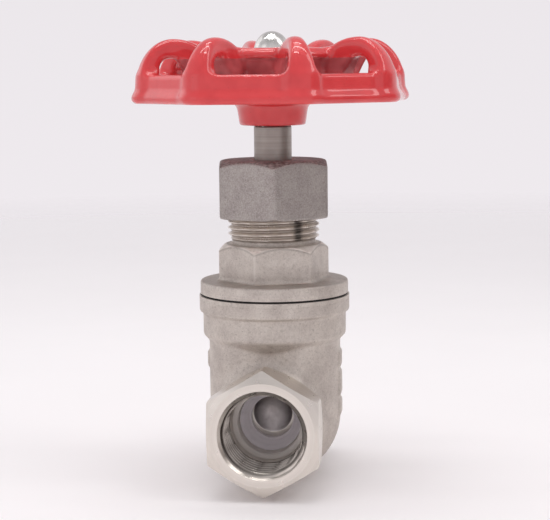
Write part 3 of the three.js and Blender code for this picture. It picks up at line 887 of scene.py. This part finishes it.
def cut_steel(name, axis, light, dark, rough=0.2, marks=0.7, metal=1.0):
    """Steel straight from the lathe: fine rings, a satin shine and a few scuffs."""
    f = Finish(name, metal, rough)
    rings = f.turning(axis, marks)
    tone = f.mix(f.remap(rings, 0.3, 0.7), dark, light)
    tone = f.mix(f.remap(f.noise(4, 2), 0.5, 0.75, 0.0, 0.4), tone, dark)
    f.colour(f.mix(f.math("MULTIPLY", f.edges(), 0.12), tone, shade(240, 234, 226)))
    f.rough(f.remap(f.noise(2, 2), 0.3, 0.7, rough - 0.04, rough + 0.06))
    f.bump(rings, 0.03, 0.02)
    f.bump(f.noise(4, 1), 0.05, 0.04)
    return f


def thread_steel(name, axis, crest, root, light, deep_colour, start=None):
    """Cut thread: bright crests, and roots that the light does not reach. Radii are in millimetres."""
    f = Finish(name, 0.9, 0.3)
    radius, along = f.radius(axis)
    deep = f.remap(radius, crest * MM, root * MM)
    tone = f.mix(f.remap(f.noise(1.6, 1), 0.3, 0.7, 0.0, 0.3), light, shade(168, 160, 152))
    if start:
        inside = f.remap(f.math("ABSOLUTE", along), start * MM, (start - 0.5) * MM)
        deep = f.math("MULTIPLY", deep, inside)
        # painted shade: past start, deeper in the bore, the thread is darker all over
        tone = f.mix(f.math("MULTIPLY", inside, 0.35), tone, shade(96, 89, 84))
    tone = f.mix(deep, tone, deep_colour)
    f.colour(f.mix(f.math("MULTIPLY", f.edges(), 0.12), tone, light))
    f.rough(f.remap(f.noise(2, 2), 0.3, 0.7, 0.26, 0.36))
    f.bump(f.turning(axis, 0.7), 0.04, 0.02)
    return f


def neck_steel():
    """The bonnet's neck thread, with a dark streak down its front."""
    f = thread_steel("neck_steel", "Z", 11.3, 10.5, shade(222, 213, 204), shade(170, 160, 151))
    sideways = f.math("SUBTRACT", f.add("SeparateXYZ", {0: f.place}).outputs["X"], 7.1 * MM)
    streak = f.remap(f.math("ABSOLUTE", sideways), 1.2 * MM, 0.3 * MM, 0.0, 0.7)
    clean = f.shader.inputs["Base Color"].links[0].from_socket
    f.colour(f.mix(streak, clean, shade(48, 42, 40)))
    return f


def enamel(name, shine, light, dark):
    """Thick red enamel over cast iron: ripples, painted shade in the hollows, thin on the edges. shine is the
    clear coat.
    """
    f = Finish(name, 0.0, 0.36)
    tone = f.mix(f.remap(f.noise(6, 2), 0.35, 0.65), dark, light)
    # painted shade: hollows darkened
    tone = f.mix(f.math("MULTIPLY", f.hollows(0.49, 0.43), 0.55), tone, shade(124, 14, 20))
    tone = f.mix(f.math("MULTIPLY", f.edges(0.52, 0.58), 0.25), tone, shade(224, 64, 70))
    tone = f.mix(f.remap(f.noise(0.6, 1), 0.24, 0.2, 0.0, 0.5), tone, shade(110, 12, 16))
    f.colour(tone)
    f.rough(f.remap(f.noise(4, 3), 0.3, 0.7, 0.32, 0.46))
    f.shader.inputs["Specular IOR Level"].default_value = 0.3
    f.shader.inputs["Coat Weight"].default_value = shine
    f.shader.inputs["Coat Roughness"].default_value = 0.04
    f.shader.inputs["Coat IOR"].default_value = 1.5
    f.bump(f.noise(6, 1), 0.05, 0.1)
    f.tree.links.new(f.relief, f.shader.inputs["Coat Normal"])
    return f


def brushed_wedge():
    """Ground face of the wedge, brushed across, with a painted highlight in a band up the middle and painted
    shade towards the sides.
    """
    f = Finish("wedge_steel", 0.85, 0.42)
    sideways = f.math("ABSOLUTE", f.add("SeparateXYZ", {0: f.place}).outputs["X"])
    tone = f.mix(f.remap(f.noise(3, 3), 0.35, 0.65), shade(178, 171, 170), shade(200, 193, 192))
    # painted highlight and shade: lighter up the middle, darker towards the sides
    tone = f.mix(f.remap(sideways, 0.8 * MM, 4.0 * MM, 0.0, 0.85), tone, shade(84, 78, 78))
    radius, _ = f.radius("Y", RECESS_LIFT)
    tone = f.mix(f.remap(radius, (RECESS - 0.05) * MM, (RECESS + 0.1) * MM), tone, shade(226, 220, 213))
    tone = f.mix(f.remap(f.noise(0.5, 3), 0.3, 0.2, 0.0, 0.6), tone, shade(70, 64, 62))
    f.colour(f.mix(f.math("MULTIPLY", f.edges(0.54, 0.7), 0.3), tone, shade(214, 208, 200)))
    f.rough(f.remap(f.noise(0.8, 3), 0.3, 0.7, 0.36, 0.5))
    f.shader.inputs["Anisotropic"].default_value = 0.8
    tangent = f.add("Tangent", direction_type="RADIAL", axis="Z").outputs[0]
    f.tree.links.new(tangent, f.shader.inputs["Tangent"])
    f.bump(f.noise(0.4, 2, (0.1, 1, 1)), 0.15, 0.02)
    return f


def seat_alloy():
    """Hard-faced seat ring: bluish and satin."""
    f = Finish("seat_alloy", 0.05, 0.45)
    rings = f.turning("Y", 0.5)
    tone = f.mix(f.remap(rings, 0.3, 0.7), shade(240, 234, 237), shade(250, 244, 247))
    f.colour(f.mix(f.remap(f.noise(1.4, 3), 0.55, 0.75, 0.0, 0.3), tone, shade(214, 210, 215)))
    f.rough(f.remap(f.noise(0.9, 3), 0.3, 0.7, 0.42, 0.58))
    f.bump(rings, 0.08, 0.01)
    return f


def chrome():
    """Polished nut: mirror bright, with faint handling marks and painted shade in the hollows."""
    f = Finish("bright_plating", 1.0, 0.2)
    tone = f.mix(f.remap(f.noise(1.6, 3), 0.4, 0.7), shade(226, 224, 220), shade(206, 204, 200))
    # painted shade: hollows darkened
    f.colour(f.mix(f.math("MULTIPLY", f.hollows(), 0.5), tone, shade(120, 116, 112)))
    f.rough(f.remap(f.noise(0.7, 4), 0.35, 0.7, 0.17, 0.24))
    f.bump(f.noise(2.5, 1), 0.03, 0.02)
    return f


def fibre(name, light, dark, size, rough):
    """A pressed fibre or packing: matt, mottled, finely rough."""
    f = Finish(name, 0.0, rough)
    f.colour(f.mix(f.remap(f.noise(size, 4), 0.3, 0.7), dark, light))
    f.rough(f.remap(f.noise(size * 2, 2), 0.3, 0.7, rough - 0.1, rough + 0.1))
    f.bump(f.noise(size, 3), 0.4, 0.05)
    return f


# ---------------------------------------------------------------- assembly

def add_piece(obj, node, body, slot, *finishes, marks=None):
    """Puts obj in the place of a CAD node, on its body. marks picks one of several finishes for each face."""
    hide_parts(node)
    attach(obj, body)
    obj.data.materials.clear()
    for finish in finishes:
        obj.data.materials.append(finish.material)
    if marks:
        mark_faces(obj, marks)


def add_body(steel):
    casting = blasted_steel("cast_steel", *steel, 0.3, 0.58)
    machined = cut_steel("machined_steel", "Y", shade(227, 220, 212), shade(217, 210, 202), 0.31)
    thread = thread_steel("port_steel", "Y", PORT_MINOR + 0.02, 9.8, shade(222, 214, 205), shade(56, 50, 46),
                          HALF_LENGTH - 1)
    satin = cut_steel("satin_steel", "Y", shade(236, 229, 222), shade(224, 217, 210), 0.42, 0.7, 0.3)
    finishes = casting, machined, thread, satin
    add_piece(make_body(), "body", "valve_body", "cast_steel", *finishes, marks=body_slots)
    seat = seat_alloy()
    for side, along in (("front", "-Y"), ("back", "+Y")):
        ring = seat_ring(f"seat_ring_{side}_turned", along)
        add_piece(ring, f"seat_ring_{side}", "valve_body", "seat_steel", seat)
    add_piece(make_wedge(), "wedge", "gate", "wedge_steel", brushed_wedge())


def add_bonnet(steel):
    gasket_skin = fibre("gasket_fibre", shade(44, 42, 42), shade(24, 23, 23), 0.3, 0.8)
    add_piece(gasket(), "bonnet_gasket", "valve_body", "gasket_fibre", gasket_skin)
    finishes = bonnet_steel(*steel), neck_steel()
    add_piece(make_bonnet(), "bonnet", "valve_body", "cast_steel", *finishes, marks=bonnet_slots)


def add_gland(lathe):
    # painted shade: the nut's casting colours are darker than the body's, as under the wheel
    skin = blasted_steel("nut_steel", shade(164, 157, 153), shade(153, 145, 142), shade(90, 80, 76), 0.3)
    # painted shade: a darker, less metallic copy of the casting on the top and its chamfer, under the wheel
    top_shade = blasted_steel("nut_top_steel", shade(128, 120, 118), shade(84, 76, 74), shade(36, 32, 31),
                          0.8, 0.6, 0.25, 0.15)
    add_piece(make_gland_nut(), "gland_nut", "valve_body", "nut_steel", skin, top_shade, marks=gland_slots)
    for node, inner, outer in (("stem_retainer", 3.9, 8.0), ("stem_thrust_washer_lower", 4.85, 7.5),
                               ("stem_thrust_washer_upper", 4.85, 7.5), ("packing_adapter_lower", 4.85, 7.9),
                               ("packing_adapter_upper", 4.85, 7.9)):
        add_piece(plain_ring(node, inner, outer), node, "valve_body", "turned_steel", lathe)
    packing_skin = fibre("packing_ptfe", shade(236, 234, 228), shade(222, 218, 210), 0.5, 0.55)
    for i in (1, 2, 3):
        node = f"packing_ring_{i}"
        add_piece(chevron_ring(node), node, "valve_body", "packing_ptfe", packing_skin)
    add_piece(follower(), "gland_follower", "valve_body", "turned_steel", lathe)


def add_spindle(lathe):
    add_piece(make_stem(), "stem", "spindle", "turned_steel", lathe)
    red = enamel("red_enamel", 1.0, shade(220, 60, 63), shade(209, 50, 54))
    # painted shade and painted reflection: a darker, milkier, less glossy copy of the red enamel for the dish
    # wall and the back of the rim
    shaded_red = enamel("red_enamel_painted_shade", 0.12, shade(196, 90, 92), shade(152, 60, 63))
    add_piece(make_wheel(), "handwheel", "spindle", "red_enamel", red, shaded_red, marks=wheel_slots)
    bright = chrome()
    add_piece(plain_ring("wheel_washer", 3.2, 6.2, 0.12), "wheel_washer", "spindle", "plated_steel", bright)
    add_piece(split_washer(), "spring_washer", "spindle", "plated_steel", bright)
    add_piece(make_dome_nut(), "dome_nut", "spindle", "plated_steel", bright)


def build():
    steel = shade(204, 196, 188), shade(187, 178, 171), shade(104, 96, 88)  # light, dark, and the colour of specks and painted shade
    lathe = cut_steel("turned_steel", "Z", shade(163, 155, 149), shade(152, 144, 138), 0.38, 0.3)
    add_body(steel)
    add_bonnet(steel)
    add_gland(lathe)
    add_spindle(lathe)


# ---------------------------------------------------------------- studio

def aim(obj, place, at):
    obj.location = place
    obj.rotation_euler = (Vector(at) - Vector(place)).to_track_quat("-Z", "Y").to_euler()


def panel(name, place, at, size, radiance):
    """A rectangular soft light of the given size in metres and surface brightness."""
    light = bpy.data.lights.new(name, "AREA")
    light.shape = "RECTANGLE"
    light.size, light.size_y = size
    light.energy = radiance * math.pi * size[0] * size[1]
    obj = bpy.data.objects.new(name, light)
    bpy.context.scene.collection.objects.link(obj)
    aim(obj, place, at)


def card(name, place, at, size, colour):
    """A board that the object reflects and that shades it, out of the camera's sight."""
    bpy.ops.mesh.primitive_plane_add(size=1)
    obj = bpy.context.object
    obj.name = name
    obj.scale = (*size, 1)
    aim(obj, place, at)
    f = Finish(name + "_paper", 0.0, 0.9)
    f.colour(f.mix(f.noise(90, 2), colour, tuple(c * 1.2 for c in colour[:3]) + (1,)))
    obj.data.materials.append(f.material)
    obj.visible_camera = False


def studio_lights():
    """A square light overhead with a bright frame, weaker lights from both sides, and a grey board."""
    middle = (0, 0, 0.06)
    over, half, strip, glow = -0.02, 0.18, 0.026, 12.0
    panel("top_light", (over, over, 0.72), middle, (2 * half, 2 * half), 1.2)
    for side in (-half, half):
        panel("top_strip", (over + side, over, 0.71), middle, (strip, 0.39), glow)
        panel("top_strip", (over, over + side, 0.71), middle, (0.33, strip), glow)
    panel("left_light", (-0.62, 0.30, 0.46), middle, (0.5, 0.5), 0.5)
    panel("left_fill", (-0.6, -0.5, 0.3), middle, (0.4, 0.5), 0.3)
    panel("right_light", (0.5, -0.1, 0.58), middle, (0.24, 0.3), 3.0)
    card("right_flag", (0.55, -0.05, 0.1), (0, 0, 0.08), (0.55, 0.5), shade(150, 144, 142))


def studio_world():
    """Pale walls: lighter at eye level, greyer overhead."""
    world = bpy.data.worlds.new("studio")
    bpy.context.scene.world = world
    world.use_nodes = True
    nodes, links = world.node_tree.nodes, world.node_tree.links
    place = nodes.new("ShaderNodeTexCoord")
    parts = nodes.new("ShaderNodeSeparateXYZ")
    links.new(place.outputs["Generated"], parts.inputs[0])
    ramp = nodes.new("ShaderNodeValToRGB")
    ramp.color_ramp.interpolation = "B_SPLINE"
    horizon, zenith = ramp.color_ramp.elements
    horizon.position, horizon.color = 0.45, (0.885, 0.845, 0.875, 1)
    zenith.position, zenith.color = 1.0, (0.42, 0.42, 0.43, 1)
    ramp.color_ramp.elements.new(0.72).color = (0.75, 0.72, 0.75, 1)
    up = nodes.new("ShaderNodeMapRange")
    up.inputs["From Min"].default_value = -1
    links.new(parts.outputs["Z"], up.inputs["Value"])
    links.new(up.outputs["Result"], ramp.inputs["Fac"])
    links.new(ramp.outputs["Color"], nodes["Background"].inputs["Color"])
    nodes["Background"].inputs["Strength"].default_value = 1.0


def studio_floor():
    """A pale table whose edge fades into the background."""
    bpy.ops.mesh.primitive_circle_add(vertices=96, radius=1.2, fill_type="NGON")
    floor = bpy.context.object
    floor.name = "floor"
    f = Finish("floor_paper", 0.0, 0.55)
    f.colour(f.mix(f.remap(f.noise(60, 3), 0.3, 0.7), shade(251, 248, 248), shade(253, 250, 250)))
    f.bump(f.noise(0.8, 3), 0.05, 0.05)
    distance = f.add("VectorMath", {0: f.place}, operation="LENGTH").outputs["Value"]
    fade = f.remap(distance, 0.2, 0.9)
    clear = f.add("BsdfTransparent").outputs[0]
    mixed = f.add("MixShader", {0: fade, 1: f.shader.outputs[0], 2: clear}).outputs[0]
    f.tree.links.new(mixed, f.tree.nodes["Material Output"].inputs["Surface"])
    floor.data.materials.append(f.material)


def camera():
    """A little to the right of the front port, level with the handwheel and tilted down."""
    data = bpy.data.cameras.new("camera")
    data.sensor_width = 36
    data.lens = 99.35
    data.clip_start = 0.01
    obj = bpy.data.objects.new("camera", data)
    bpy.context.scene.collection.objects.link(obj)
    yaw, pitch, roll = math.radians(7.009), math.radians(7.147), math.radians(-0.6)
    obj.location = (0.04655, -0.37673, 0.10279)
    turn = Matrix.Rotation(yaw, 4, "Z") @ Matrix.Rotation(math.pi / 2 - pitch, 4, "X")
    obj.rotation_euler = (turn @ Matrix.Rotation(roll, 4, "Z")).to_euler()
    bpy.context.scene.camera = obj


build()
studio_world()
studio_lights()
studio_floor()
camera()
bpy.context.scene.view_settings.view_transform = "Standard"
